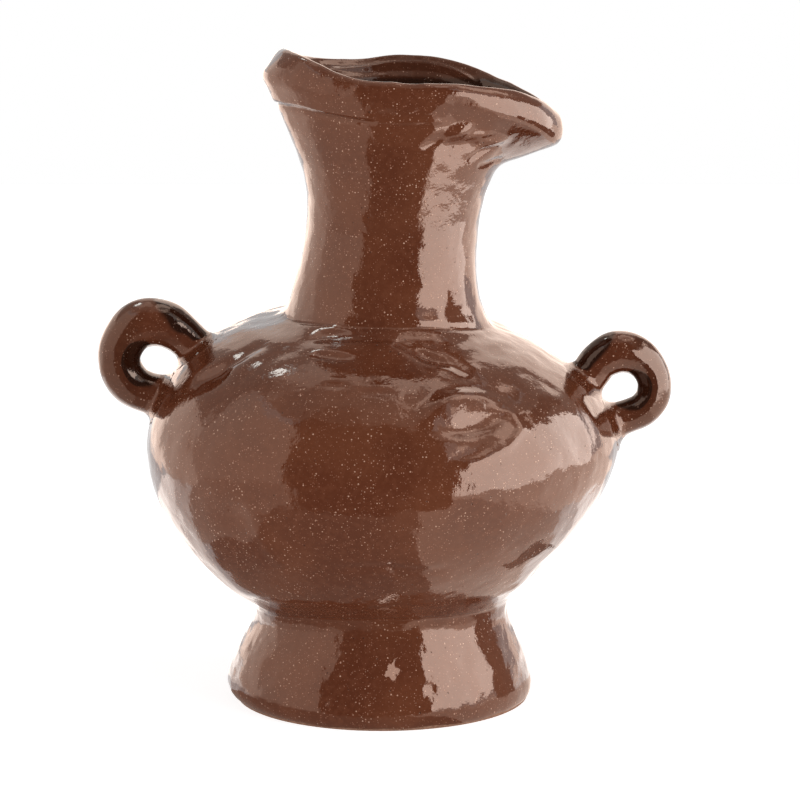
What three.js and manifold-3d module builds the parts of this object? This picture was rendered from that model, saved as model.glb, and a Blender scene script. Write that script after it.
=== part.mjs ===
import * as THREE from 'three';
import { mergeVertices } from 'three/addons/utils/BufferGeometryUtils.js';
import Module from 'manifold-3d';

// A hand-built stoneware vase in millimetres. It stands on z = 0, its two ring handles lie along X
// and its front faces -Y. It is a stack of clay sections luted together: a base slab, a foot ring,
// a lower bowl, a shoulder, a neck and a folded lip, with a rolled coil handle on each side.

// Heights of the sections, one on top of the other
const SLAB_EDGE = 5;
const FOOT_RISE = 31;
const LOWER_RISE = 65;
const SHOULDER_RISE = 47.5;
const NECK_RISE = 82.5;

// Outer radii at the foot's widest ring, the waist, the belly and along the neck, and how far the foot
// rounds in below its widest ring
const FOOT_RADIUS = 58.9;
const FOOT_ROUNDING = 2;
const WAIST_RADIUS = 49.3;
const BELLY_RADIUS = 91;
const NECK_BASE_RADIUS = 39.9;
const NECK_RADIUS = 32.8;
const LIP_SEAM_RADIUS = 40;

// How far the main rings stand to the right of the foot's axis, because the pot was built by eye
const BASE_LEAN = 1.2;
const WAIST_LEAN = 0.9;
const BELLY_LEAN = 1.6;
const NECK_BASE_LEAN = 2.9;
const LIP_LEAN = 8.4;

// How much higher their right side runs than their axis, and their front and back than their sides
const WAIST_TILT = 1;
const WAIST_WAVE = 3.5;
const SHOULDER_TILT = -1.5;
const SHOULDER_WAVE = 1.25;
const NECK_BASE_TILT = -2;
const NECK_BASE_WAVE = 5;

// Clay: the wall, the slab under it, the shallow recess below and the rim's rounded edge
const WALL = 7;
const SLAB_THICKNESS = 8.5;
const RECESS_DEPTH = 2.5;
const RECESS_RADIUS = 41;
const RIM_EDGE = 2.4;

// Joints: each section keeps a tongue on its inner half, and the next one laps over it
const STEP_DEPTH = 3.5;
const TONGUE = 4;
const SLIP = 0.3;

// The lip's band is this high at its highest, and its table below gives shares of it
const LIP_HEIGHT = 20;

// Handles: how far each coil reaches out of the wall, and its greatest radius outside it
const LEFT_REACH = 24;
const LEFT_COIL_RADIUS = 9;
const RIGHT_REACH = 20;
const RIGHT_COIL_RADIUS = 8.3;

// Rings of the profile between two joints: how far up their section they lie, how much of its change of
// radius has happened there, and how far they stand to the right. The neck's narrowest ring parts its
// change of radius in two.
const FOOT_BEND = { rise: 0.41, share: 0.32, lean: 0.2 };
const BOWL_START = { rise: 0.24, share: 0.39, lean: -2.9 };
const BOWL_SIDE = { rise: 0.595, share: 0.81, lean: -1 };
const SHOULDER_START = { rise: 0.435, share: 0.167, lean: -0.25 };
const SHOULDER_TURN = { rise: 0.755, share: 0.48, lean: -2 };
const SHOULDER_TOP = { rise: 0.9, share: 0.75, lean: -0.8 };
const NECK_START = { rise: 0.165, share: 0.66, lean: 2.7 };
const NECK_NARROWS = { rise: 0.41, share: 1, lean: 4.6 };
const NECK_FLARES = { rise: 0.645, share: 0.33, lean: 6.8 };

// Smoothness: stations round the axis, rows of points up the outside and the inside of each section,
// and the coils
const STATIONS = 60;
const OUTER_ROWS = { slab: 3, foot: 5, lower: 7, shoulder: 9, neck: 8, fold: 3, rim: 7 };
const INNER_ROWS = { foot: 4, lower: 6, shoulder: 7, neck: 6 };
const COIL_SIDES = 12;
const COIL_STEPS = 26;

// The lip every 30 degrees, anticlockwise from the right as seen from above, in shares of its height.
// Each entry gives [out, up] of the seam under it, the fold that bulges over the seam and the rim, the
// last two measured from the seam, and how many times RIM_EDGE the rim's rounding is.
const LIP_STATIONS = [
  { seam: [-0.1, -1.14], fold: [1.13, 0.43], rim: [1.16, 1.18], rounding: 2 },
  { seam: [0.08, -0.6], fold: [0.46, 0.5], rim: [0.42, 0.89], rounding: 1.3 },
  { seam: [-0.125, -0.1], fold: [0.175, 0.35], rim: [0.275, 0.71], rounding: 1 },
  { seam: [-0.2, -0.05], fold: [0.175, 0.4], rim: [0.25, 0.77], rounding: 1 },
  { seam: [-0.15, 0], fold: [0.15, 0.35], rim: [0.175, 0.66], rounding: 1 },
  { seam: [0.1, 0.15], fold: [0.2, 0.35], rim: [0.175, 0.64], rounding: 1.3 },
  { seam: [0.37, 0.075], fold: [0.25, 0.52], rim: [0.16, 1], rounding: 2.6 },
  { seam: [0.15, 0.1], fold: [0.22, 0.45], rim: [0.17, 0.96], rounding: 1.6 },
  { seam: [-0.09, -0.02], fold: [0.15, 0.4], rim: [0.14, 0.8], rounding: 1.1 },
  { seam: [-0.09, -0.07], fold: [0.13, 0.4], rim: [0.13, 0.77], rounding: 1 },
  { seam: [0, -0.08], fold: [0.17, 0.41], rim: [0.2, 0.75], rounding: 1 },
  { seam: [0.1, -0.6], fold: [0.5, 0.55], rim: [0.45, 1.1], rounding: 1.4 },
];

// Each handle is one coil of clay in the XZ plane. Its roots are places on the profile, and its points
// give [out, up, thickness], the first two as shares of its reach and the third of its radius. The first
// and last pairs are measured from their own root, and the others from halfway between the roots.
const LEFT_COIL = {
  angle: Math.PI,
  reach: LEFT_REACH,
  radius: LEFT_COIL_RADIUS,
  upperRoot: 8,
  lowerRoot: 6.75,
  points: [
    [-0.12, -0.25, 0.95],
    [0.14, 0, 0.84],
    [-0.02, 0.63, 0.9],
    [0.2, 0.77, 1.02],
    [0.44, 0.81, 1.06],
    [0.67, 0.74, 1.05],
    [0.86, 0.54, 0.97],
    [0.96, 0.24, 0.92],
    [0.91, -0.01, 0.91],
    [0.74, -0.24, 0.9],
    [0.5, -0.35, 0.86],
    [-0.04, 0.05, 0.88],
    [-0.35, -0.12, 0.96],
  ],
};
const RIGHT_COIL = {
  angle: 0,
  reach: RIGHT_REACH,
  radius: RIGHT_COIL_RADIUS,
  upperRoot: 7.2,
  lowerRoot: 6.3,
  points: [
    [-0.45, -0.5, 1.05],
    [0.1, 0.1, 0.88],
    [-0.01, 0.79, 0.93],
    [0.32, 0.96, 1.01],
    [0.65, 0.9, 0.93],
    [0.9, 0.69, 0.83],
    [1.04, 0.39, 0.81],
    [1.01, 0.06, 0.81],
    [0.82, -0.17, 0.79],
    [0.54, -0.3, 0.78],
    [-0.01, 0.03, 0.86],
    [-0.45, -0.2, 1],
  ],
};

// Heights of the joints
const WAIST = SLAB_EDGE + FOOT_RISE;
const EQUATOR = WAIST + LOWER_RISE;
const NECK_BASE = EQUATOR + SHOULDER_RISE;
const LIP_SEAM = NECK_BASE + NECK_RISE;

// Places along the profile, counted in control rings from the base to the inner side of the rim, and how
// far past a joint its tongue is left behind
const AT_BASE = 0;
const AT_SLAB_EDGE = 1;
const AT_WAIST = 3;
const AT_EQUATOR = 6;
const AT_NECK_BASE = 10;
const AT_LIP_SEAM = 14;
const AT_FOLD = 15;
const AT_RIM_END = 18;
const PAST_TONGUE = 0.35;

const glaze = { color: 0x5f3125, roughness: 0.12, metalness: 0 };
const bareClay = { color: 0x8f6650, roughness: 0.85, metalness: 0 };

const mix = THREE.MathUtils.lerp;

// A closed curve through one of the lip's lines, whose points hold [out, up] as x and y
function lipLine(name) {
  const points = LIP_STATIONS.map((station) => (
    new THREE.Vector3(...station[name], 0).multiplyScalar(LIP_HEIGHT)
  ));
  return new THREE.CatmullRomCurve3(points, true, 'catmullrom', 0.5);
}

const seamLine = lipLine('seam');
const foldLine = lipLine('fold');
const rimLine = lipLine('rim');
const roundings = LIP_STATIONS.map(({ rounding }) => new THREE.Vector3(rounding * RIM_EDGE, 0, 0));
const roundingLine = new THREE.CatmullRomCurve3(roundings, true, 'catmullrom', 0.5);

// Directions at an angle round the axis: outwards and sideways
const outwards = (angle) => new THREE.Vector3(Math.cos(angle), Math.sin(angle), 0);
const sideways = (angle) => new THREE.Vector3(-Math.sin(angle), Math.cos(angle), 0);

// The outer profile at an angle, from the base up and over the rim
function profileAt(angle) {
  const out = outwards(angle);
  const points = [];
  const ring = (z, radius, lean, tilt = 0, wave = 0) => {
    const rise = tilt * out.x + wave * out.y * out.y;
    points.push(new THREE.Vector3(lean + radius * out.x, radius * out.y, z + rise));
  };
  const foot = { bottom: SLAB_EDGE, height: FOOT_RISE, radii: [FOOT_RADIUS, WAIST_RADIUS] };
  const bowl = { bottom: WAIST, height: LOWER_RISE, radii: [WAIST_RADIUS, BELLY_RADIUS] };
  const dome = { bottom: EQUATOR, height: SHOULDER_RISE, radii: [BELLY_RADIUS, NECK_BASE_RADIUS] };
  const narrowing = { bottom: NECK_BASE, height: NECK_RISE, radii: [NECK_BASE_RADIUS, NECK_RADIUS] };
  const widening = { bottom: NECK_BASE, height: NECK_RISE, radii: [NECK_RADIUS, LIP_SEAM_RADIUS] };
  const ringIn = ({ bottom, height, radii }, { rise, share, lean }, tilt = 0, wave = 0) => {
    ring(bottom + rise * height, mix(...radii, share), lean, tilt, wave);
  };
  ring(0, FOOT_RADIUS - FOOT_ROUNDING, BASE_LEAN);
  ring(SLAB_EDGE, FOOT_RADIUS, 0);
  ringIn(foot, FOOT_BEND);
  ring(WAIST, WAIST_RADIUS, WAIST_LEAN, WAIST_TILT, WAIST_WAVE);
  ringIn(bowl, BOWL_START);
  ringIn(bowl, BOWL_SIDE);
  ring(EQUATOR, BELLY_RADIUS, BELLY_LEAN);
  ringIn(dome, SHOULDER_START);
  ringIn(dome, SHOULDER_TURN, SHOULDER_TILT);
  ringIn(dome, SHOULDER_TOP, SHOULDER_TILT, SHOULDER_WAVE);
  ring(NECK_BASE, NECK_BASE_RADIUS, NECK_BASE_LEAN, NECK_BASE_TILT, NECK_BASE_WAVE);
  ringIn(narrowing, NECK_START);
  ringIn(narrowing, NECK_NARROWS);
  ringIn(widening, NECK_FLARES);

  const turn = THREE.MathUtils.euclideanModulo(angle / (2 * Math.PI), 1);
  const seam = seamLine.getPoint(turn);
  const fold = foldLine.getPoint(turn).add(seam);
  const rim = rimLine.getPoint(turn).add(seam);
  const rounding = roundingLine.getPoint(turn).x;
  const lipRing = (place, inwards = 0, down = 0) => {
    ring(LIP_SEAM + place.y - down, LIP_SEAM_RADIUS + place.x - inwards, LIP_LEAN);
  };
  lipRing(seam);
  lipRing(fold);
  lipRing(rim, 0, rounding);
  lipRing(rim, rounding);
  lipRing(rim, 2 * rounding, rounding);
  return new THREE.CatmullRomCurve3(points, false, 'centripetal');
}

// The wall at one station round the axis: skin is its outside, and place() gives points inside it
function wallAt(angle) {
  const profile = profileAt(angle);
  const side = sideways(angle);
  const skin = (v) => profile.getPoint(v / AT_RIM_END);
  const place = (v, depth, along = 0) => {
    const upwards = profile.getTangent(v / AT_RIM_END);
    const outward = new THREE.Vector3().crossVectors(side, upwards).normalize();
    return skin(v).addScaledVector(outward, -depth).addScaledVector(upwards, along);
  };
  return { skin, place };
}

// The stepped joint through the wall at v, from outside to inside. The section above it keeps its
// faces one layer of slip away from those of the section below.
function stepBelow(wall, v) {
  return [
    wall.skin(v),
    wall.place(v, STEP_DEPTH),
    wall.place(v, STEP_DEPTH, TONGUE),
    wall.place(v, WALL, TONGUE),
  ];
}

function stepAbove(wall, v) {
  return [
    wall.place(v, 0, SLIP),
    wall.place(v, STEP_DEPTH - SLIP, SLIP),
    wall.place(v, STEP_DEPTH - SLIP, TONGUE + SLIP),
    wall.place(v, WALL, TONGUE + SLIP),
  ];
}

// Values from first to last in equal steps, without the two ends
function between(first, last, steps) {
  return Array.from({ length: steps - 1 }, (unused, i) => mix(first, last, (i + 1) / steps));
}

// A solid of revolution whose section changes with the angle. The section's points run anticlockwise
// as seen from the front on the right side. With poles, it starts and ends on the axis.
function sweepRound(sectionAt, poles = false) {
  const sections = [];
  for (let j = 0; j < STATIONS; j += 1) {
    sections.push(sectionAt(wallAt((2 * Math.PI * j) / STATIONS)));
  }
  const rows = sections[0].length;
  const positions = sections.flat().flatMap((point) => point.toArray());
  const index = [];
  for (let j = 0; j < STATIONS; j += 1) {
    const here = j * rows;
    const next = ((j + 1) % STATIONS) * rows;
    for (let i = 0; i < (poles ? rows - 1 : rows); i += 1) {
      const up = (i + 1) % rows;
      if (!poles || i > 0) index.push(here + i, next + i, here + up);
      if (!poles || i < rows - 2) index.push(next + i, next + up, here + up);
    }
  }
  const geometry = new THREE.BufferGeometry();
  geometry.setAttribute('position', new THREE.Float32BufferAttribute(positions, 3));
  geometry.setIndex(index);
  return mergeVertices(geometry);
}

// Sections

function slabGeometry() {
  return sweepRound((wall) => [
    new THREE.Vector3(0, 0, RECESS_DEPTH),
    wall.skin(AT_BASE).setLength(RECESS_RADIUS - RECESS_DEPTH).setZ(RECESS_DEPTH),
    wall.skin(AT_BASE).setLength(RECESS_RADIUS),
    wall.skin(AT_BASE),
    ...between(AT_BASE, AT_SLAB_EDGE, OUTER_ROWS.slab).map(wall.skin),
    wall.skin(AT_SLAB_EDGE),
    wall.place(AT_SLAB_EDGE, STEP_DEPTH).setZ(SLAB_EDGE),
    wall.place(AT_SLAB_EDGE, STEP_DEPTH).setZ(SLAB_THICKNESS),
    new THREE.Vector3(0, 0, SLAB_THICKNESS),
  ], true);
}

function footGeometry() {
  return sweepRound((wall) => {
    const seat = wall.place(AT_SLAB_EDGE, STEP_DEPTH - SLIP);
    const floorEdge = wall.place(AT_SLAB_EDGE, WALL + STEP_DEPTH / 2);
    const innerRows = between(AT_WAIST + PAST_TONGUE, AT_SLAB_EDGE + PAST_TONGUE, INNER_ROWS.foot);
    return [
      wall.skin(AT_SLAB_EDGE).setZ(SLAB_EDGE + SLIP),
      ...between(AT_SLAB_EDGE, AT_WAIST, OUTER_ROWS.foot).map(wall.skin),
      ...stepBelow(wall, AT_WAIST),
      ...innerRows.map((v) => wall.place(v, WALL)),
      floorEdge.setZ(SLAB_THICKNESS + SLIP),
      seat.clone().setZ(SLAB_THICKNESS + SLIP),
      seat.clone().setZ(SLAB_EDGE + SLIP),
    ];
  });
}

// The section of wall of that name between two stepped joints
function wallGeometry(name, from, to) {
  return sweepRound((wall) => {
    const foot = stepAbove(wall, from);
    const innerRows = between(to + PAST_TONGUE, from + PAST_TONGUE, INNER_ROWS[name]);
    return [
      foot[0],
      ...between(from, to, OUTER_ROWS[name]).map(wall.skin),
      ...stepBelow(wall, to),
      ...innerRows.map((v) => wall.place(v, WALL)),
      foot[3],
      foot[2],
      foot[1],
    ];
  });
}

function lipGeometry() {
  return sweepRound((wall) => {
    const foot = stepAbove(wall, AT_LIP_SEAM);
    return [
      foot[0],
      ...between(AT_LIP_SEAM, AT_FOLD, OUTER_ROWS.fold).map(wall.skin),
      wall.skin(AT_FOLD),
      ...between(AT_FOLD, AT_RIM_END, OUTER_ROWS.rim).map(wall.skin),
      wall.skin(AT_RIM_END),
      wall.place(AT_FOLD + 0.5, WALL),
      wall.place(AT_FOLD, WALL),
      foot[3],
      foot[2],
      foot[1],
    ];
  });
}

// The outside of the belly grown by one layer of slip and closed, to trim the handles' ends on
function trimmingGeometry() {
  const rows = [
    ...between(AT_WAIST, AT_EQUATOR, OUTER_ROWS.lower),
    AT_EQUATOR,
    ...between(AT_EQUATOR, AT_NECK_BASE, OUTER_ROWS.shoulder),
  ];
  return sweepRound((wall) => [
    new THREE.Vector3(0, 0, WAIST),
    ...rows.map((v) => wall.place(v, -SLIP)),
    new THREE.Vector3(0, 0, NECK_BASE),
  ], true);
}

// A coil of clay along the handle's path, of changing thickness, with flat ends
function coilGeometry(coil) {
  const wall = wallAt(coil.angle);
  const out = outwards(coil.angle);
  const upper = wall.skin(coil.upperRoot);
  const lower = wall.skin(coil.lowerRoot);
  const middle = upper.clone().lerp(lower, 0.5);
  const last = coil.points.length - 1;
  const anchors = coil.points.map((point, i) => (i < 2 ? upper : i > last - 2 ? lower : middle));
  const upwards = new THREE.Vector3(0, 0, 1);
  const centres = coil.points.map(([reach, rise], i) => {
    const centre = anchors[i].clone().addScaledVector(out, reach * coil.reach);
    return centre.addScaledVector(upwards, rise * coil.reach);
  });
  const path = new THREE.CatmullRomCurve3(centres, false, 'centripetal');
  const across = sideways(coil.angle);
  const positions = [];
  for (let i = 0; i <= COIL_STEPS; i += 1) {
    const t = i / COIL_STEPS;
    const k = Math.min(Math.floor(t * last), last - 1);
    const radius = coil.radius * mix(coil.points[k][2], coil.points[k + 1][2], t * last - k);
    const centre = path.getPoint(t);
    const inPlane = new THREE.Vector3().crossVectors(across, path.getTangent(t));
    for (let s = 0; s < COIL_SIDES; s += 1) {
      const turn = (2 * Math.PI * s) / COIL_SIDES;
      const point = centre.clone();
      point.addScaledVector(inPlane, radius * Math.cos(turn));
      point.addScaledVector(across, radius * Math.sin(turn));
      positions.push(...point.toArray());
    }
  }
  const index = [];
  for (let i = 0; i < COIL_STEPS; i += 1) {
    for (let s = 0; s < COIL_SIDES; s += 1) {
      const a = i * COIL_SIDES + s;
      const b = i * COIL_SIDES + ((s + 1) % COIL_SIDES);
      index.push(a, b, a + COIL_SIDES, b, b + COIL_SIDES, a + COIL_SIDES);
    }
  }
  const end = COIL_STEPS * COIL_SIDES;
  for (let s = 1; s < COIL_SIDES - 1; s += 1) {
    index.push(0, s + 1, s, end, end + s, end + s + 1);
  }
  const geometry = new THREE.BufferGeometry();
  geometry.setAttribute('position', new THREE.Float32BufferAttribute(positions, 3));
  geometry.setIndex(index);
  return geometry;
}

// Boolean cuts

const wasm = await Module();
wasm.setup();

function toSolid(geometry) {
  const vertProperties = new Float32Array(geometry.attributes.position.array);
  const triVerts = new Uint32Array(geometry.index.array);
  return new wasm.Manifold(new wasm.Mesh({ numProp: 3, vertProperties, triVerts }));
}

function toGeometry(solid) {
  const mesh = solid.getMesh();
  const geometry = new THREE.BufferGeometry();
  geometry.setAttribute('position', new THREE.BufferAttribute(mesh.vertProperties, 3));
  geometry.setIndex(new THREE.BufferAttribute(mesh.triVerts, 1));
  return geometry;
}

// A handle is its coil without what would lie in the wall or the cavity
function handleGeometry(coil, belly) {
  return toGeometry(toSolid(coilGeometry(coil)).subtract(belly));
}

// Assembly

const vase = new THREE.Group();

function addPiece(name, geometry, finish = glaze) {
  geometry.computeVertexNormals();
  const piece = new THREE.Mesh(geometry, new THREE.MeshStandardMaterial(finish));
  piece.name = name;
  vase.add(piece);
}

const belly = toSolid(trimmingGeometry());

addPiece('base_slab', slabGeometry(), bareClay);
addPiece('foot_ring', footGeometry());
addPiece('lower_body', wallGeometry('lower', AT_WAIST, AT_EQUATOR));
addPiece('shoulder', wallGeometry('shoulder', AT_EQUATOR, AT_NECK_BASE));
addPiece('neck', wallGeometry('neck', AT_NECK_BASE, AT_LIP_SEAM));
addPiece('folded_lip', lipGeometry());
addPiece('handle_left', handleGeometry(LEFT_COIL, belly));
addPiece('handle_right', handleGeometry(RIGHT_COIL, belly));

// The origin is the centre of the whole outline at the level that the vase stands on
const outline = new THREE.Box3().setFromObject(vase);
vase.position.x = -(outline.min.x + outline.max.x) / 2;
vase.position.y = -(outline.min.y + outline.max.y) / 2;

export default vase;
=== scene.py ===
import math

import bpy
import numpy as np
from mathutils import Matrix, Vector
from mathutils.bvhtree import BVHTree


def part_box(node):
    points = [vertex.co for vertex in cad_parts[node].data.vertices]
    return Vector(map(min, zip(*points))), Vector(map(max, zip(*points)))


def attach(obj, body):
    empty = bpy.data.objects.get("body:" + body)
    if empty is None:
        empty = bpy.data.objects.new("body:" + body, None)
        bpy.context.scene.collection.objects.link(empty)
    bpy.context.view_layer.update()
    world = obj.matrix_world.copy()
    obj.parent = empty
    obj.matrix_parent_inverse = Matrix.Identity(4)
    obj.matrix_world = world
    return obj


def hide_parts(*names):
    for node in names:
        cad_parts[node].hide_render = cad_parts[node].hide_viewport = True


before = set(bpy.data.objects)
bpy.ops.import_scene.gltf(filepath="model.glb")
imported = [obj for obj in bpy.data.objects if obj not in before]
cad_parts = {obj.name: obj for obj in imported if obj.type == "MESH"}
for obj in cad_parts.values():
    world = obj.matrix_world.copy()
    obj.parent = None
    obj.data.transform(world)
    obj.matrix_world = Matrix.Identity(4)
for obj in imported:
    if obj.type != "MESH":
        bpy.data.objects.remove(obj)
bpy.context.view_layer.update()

# A hand-built stoneware vase, modelled in millimetres from the same rings as the CAD sections and
# scaled to metres when a mesh is made. The front faces -Y and the handles lie along X.

TAU = 2 * math.pi
MM = 0.001

# Sizes of the vase
SLAB_EDGE = 5.0
FOOT_RISE = 31.0
LOWER_RISE = 65.0
SHOULDER_RISE = 47.5
NECK_RISE = 82.5
FOOT_RADIUS = 58.9
FOOT_ROUNDING = 2.0
WAIST_RADIUS = 49.3
BELLY_RADIUS = 91.0
NECK_BASE_RADIUS = 39.9
NECK_RADIUS = 32.8
LIP_SEAM_RADIUS = 40.0
BASE_LEAN = 1.2
WAIST_LEAN = 0.9
BELLY_LEAN = 1.6
NECK_BASE_LEAN = 2.9
LIP_LEAN = 8.4
WAIST_TILT = 1.0
WAIST_WAVE = 3.5
SHOULDER_TILT = -1.5
SHOULDER_WAVE = 1.25
NECK_BASE_TILT = -2.0
NECK_BASE_WAVE = 5.0
WALL = 7.0
SLAB_THICKNESS = 8.5
RECESS_DEPTH = 2.5
RECESS_RADIUS = 41.0
RIM_EDGE = 2.4
STEP_DEPTH = 3.5
TONGUE = 4.0
SLIP = 0.3
LIP_HEIGHT = 20.0

# Heights of the joints
WAIST = SLAB_EDGE + FOOT_RISE
EQUATOR = WAIST + LOWER_RISE
NECK_BASE = EQUATOR + SHOULDER_RISE
LIP_SEAM = NECK_BASE + NECK_RISE

# Places along the profile, counted in control rings
AT_SLAB_EDGE = 1
AT_WAIST = 3
AT_EQUATOR = 6
AT_NECK_BASE = 10
AT_LIP_SEAM = 14
AT_FOLD = 15
AT_RIM_END = 18

# The lip every 30 degrees, anticlockwise from the right: out and up of its three lines, in shares of its
# height, the fold and the rim measured from the seam, and how many rim edges its rounded top is across
LIP_SEAM_LINE = [(-0.1, -1.14), (0.08, -0.6), (-0.125, -0.1), (-0.2, -0.05), (-0.15, 0), (0.1, 0.15),
                 (0.37, 0.075), (0.15, 0.1), (-0.09, -0.02), (-0.09, -0.07), (0, -0.08), (0.1, -0.6)]
LIP_FOLD_LINE = [(1.13, 0.43), (0.46, 0.5), (0.175, 0.35), (0.175, 0.4), (0.15, 0.35), (0.2, 0.35),
                 (0.25, 0.52), (0.22, 0.45), (0.15, 0.4), (0.13, 0.4), (0.17, 0.41), (0.5, 0.55)]
LIP_RIM_LINE = [(1.16, 1.18), (0.42, 0.89), (0.275, 0.71), (0.25, 0.77), (0.175, 0.66), (0.175, 0.64),
                (0.16, 1), (0.17, 0.96), (0.14, 0.8), (0.13, 0.77), (0.2, 0.75), (0.45, 1.1)]
LIP_RIM_EDGES = [2, 1.3, 1, 1, 1, 1.3, 2.6, 1.6, 1.1, 1, 1, 1.4]


def mix(a, b, t):
    return a + (b - a) * t


def hermite(p1, p2, m1, m2, s):
    return ((2*s**3 - 3*s**2 + 1)*p1 + (s**3 - 2*s**2 + s)*m1
            + (-2*s**3 + 3*s**2)*p2 + (s**3 - s**2)*m2)


def lip_line(table, theta):
    """the values of one of the lip's closed lines at each angle"""
    points = np.array(table, float).reshape(len(table), -1)
    count = len(points)
    turn = np.mod(theta, TAU) / TAU * count
    k = np.floor(turn).astype(int)
    s = (turn - k)[:, None]
    p0, p1, p2, p3 = (points[(k + i) % count] for i in (-1, 0, 1, 2))
    return hermite(p1, p2, (p2 - p0) / 2, (p3 - p1) / 2, s)


def control_rings(theta):
    """the profile's control points at each angle: an array of rings, angles and coordinates"""
    out_x, out_y = np.cos(theta), np.sin(theta)
    rings = []

    def ring(z, radius, lean, tilt=0.0, wave=0.0):
        rings.append(np.stack([lean + radius*out_x, radius*out_y, z + tilt*out_x + wave*out_y**2], -1))

    def ring_in(bottom, height, radii, rise, share, lean, tilt=0.0, wave=0.0):
        ring(bottom + rise*height, mix(*radii, share), lean, tilt, wave)

    dome = (EQUATOR, SHOULDER_RISE, (BELLY_RADIUS, NECK_BASE_RADIUS))
    ring(0, FOOT_RADIUS - FOOT_ROUNDING, BASE_LEAN)
    ring(SLAB_EDGE, FOOT_RADIUS, 0)
    ring_in(SLAB_EDGE, FOOT_RISE, (FOOT_RADIUS, WAIST_RADIUS), 0.41, 0.32, 0.2)
    ring(WAIST, WAIST_RADIUS, WAIST_LEAN, WAIST_TILT, WAIST_WAVE)
    ring_in(WAIST, LOWER_RISE, (WAIST_RADIUS, BELLY_RADIUS), 0.24, 0.39, -2.9)
    ring_in(WAIST, LOWER_RISE, (WAIST_RADIUS, BELLY_RADIUS), 0.595, 0.81, -1)
    ring(EQUATOR, BELLY_RADIUS, BELLY_LEAN)
    ring_in(*dome, 0.435, 0.167, -0.25)
    ring_in(*dome, 0.755, 0.48, -2, SHOULDER_TILT)
    ring_in(*dome, 0.9, 0.75, -0.8, SHOULDER_TILT, SHOULDER_WAVE)
    ring(NECK_BASE, NECK_BASE_RADIUS, NECK_BASE_LEAN, NECK_BASE_TILT, NECK_BASE_WAVE)
    ring_in(NECK_BASE, NECK_RISE, (NECK_BASE_RADIUS, NECK_RADIUS), 0.165, 0.66, 2.7)
    ring_in(NECK_BASE, NECK_RISE, (NECK_BASE_RADIUS, NECK_RADIUS), 0.41, 1, 4.6)
    ring_in(NECK_BASE, NECK_RISE, (NECK_RADIUS, LIP_SEAM_RADIUS), 0.645, 0.33, 6.8)
    seam = LIP_HEIGHT * lip_line(LIP_SEAM_LINE, theta)
    fold = seam + LIP_HEIGHT*lip_line(LIP_FOLD_LINE, theta)
    rim = seam + LIP_HEIGHT*lip_line(LIP_RIM_LINE, theta)
    edge = RIM_EDGE * lip_line(LIP_RIM_EDGES, theta)[:, 0]
    lip_points = ((seam, 0, 0), (fold, 0, 0), (rim, 0, edge), (rim, edge, 0), (rim, 2*edge, edge))
    for line, inwards, down in lip_points:
        ring(LIP_SEAM + line[:, 1] - down, LIP_SEAM_RADIUS + line[:, 0] - inwards, LIP_LEAN)
    return np.array(rings)


def centripetal(points, v):
    """a centripetal Catmull-Rom curve through points[0], points[1]... at each value of v"""
    p = np.concatenate([(2*points[0] - points[1])[None], points, (2*points[-1] - points[-2])[None]])
    rows = []
    for x in np.atleast_1d(v):
        i = int(min(max(math.floor(x), 0), len(points) - 2))
        p0, p1, p2, p3 = p[i:i + 4]
        d01, d12, d23 = (np.sqrt(np.linalg.norm(b - a, axis=-1, keepdims=True)) + 1e-9
                         for a, b in ((p0, p1), (p1, p2), (p2, p3)))
        m1 = d12 * ((p1 - p0)/d01 - (p2 - p0)/(d01 + d12) + (p2 - p1)/d12)
        m2 = d12 * ((p2 - p1)/d12 - (p3 - p1)/(d12 + d23) + (p3 - p2)/d23)
        rows.append(hermite(p1, p2, m1, m2, x - i))
    return np.array(rows)


def unit(vectors):
    return vectors / np.maximum(np.linalg.norm(vectors, axis=-1, keepdims=True), 1e-12)


# Fineness of the meshes: stations round the axis, and the length of a step along the profile, on the
# outside, on the inner rings that show through the mouth, and deeper inside
STATIONS = 360
OUTER_STEP = 1.5
MOUTH_STEP = 2.5
DEEP_STEP = 4.0
MOUTH_RINGS = 6

# A small step along the profile or round the axis, for finding directions
NUDGE = 0.01

# Points of the inner side below the rim: places along the profile, and how far up its tangent they lie.
# Those that lie a tongue's height up are the joints seen from inside.
INNER_PLACES = [
    (AT_FOLD + 0.5, 0), (AT_FOLD, 0), (AT_LIP_SEAM, TONGUE), (13.4, 0), (12.7, 0), (12, 0), (11.3, 0),
    (10.7, 0), (AT_NECK_BASE, TONGUE), (9.3, 0), (8.6, 0), (8, 0), (7.3, 0), (6.7, 0), (AT_EQUATOR, TONGUE),
    (5.5, 0), (5, 0), (4.3, 0), (3.6, 0), (AT_WAIST, TONGUE), (2.6, 0), (2.1, 0), (1.6, 0)]
INNER_JOINTS = {at: AT_RIM_END + 1 + k for k, (at, along) in enumerate(INNER_PLACES) if along}


class Noise:
    """smooth gradient noise in space, about -0.5 to 0.5, the same on each run"""

    def __init__(self, seed):
        random = np.random.default_rng(seed)
        self.order = np.concatenate([random.permutation(256)] * 3)
        self.slopes = unit(random.normal(size=(256, 3)))

    def __call__(self, points, wavelength):
        q = points / wavelength + 100.0
        cell = np.floor(q).astype(int)
        f = q - cell
        cell &= 255
        w = f * f * f * (f * (f * 6 - 15) + 10)
        total = 0
        for dx in (0, 1):
            for dy in (0, 1):
                for dz in (0, 1):
                    a = self.order[cell[..., 0] + dx]
                    b = self.order[a + cell[..., 1] + dy]
                    slope = self.slopes[self.order[b + cell[..., 2] + dz]]
                    part = (slope * (f - (dx, dy, dz))).sum(-1)
                    for axis, d in enumerate((dx, dy, dz)):
                        part = part * (w[..., axis] if d else 1 - w[..., axis])
                    total = total + part
        return total


def smooth(edge0, edge1, x):
    t = np.clip((x - edge0) / (edge1 - edge0), 0, 1)
    return t * t * (3 - 2*t)


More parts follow.
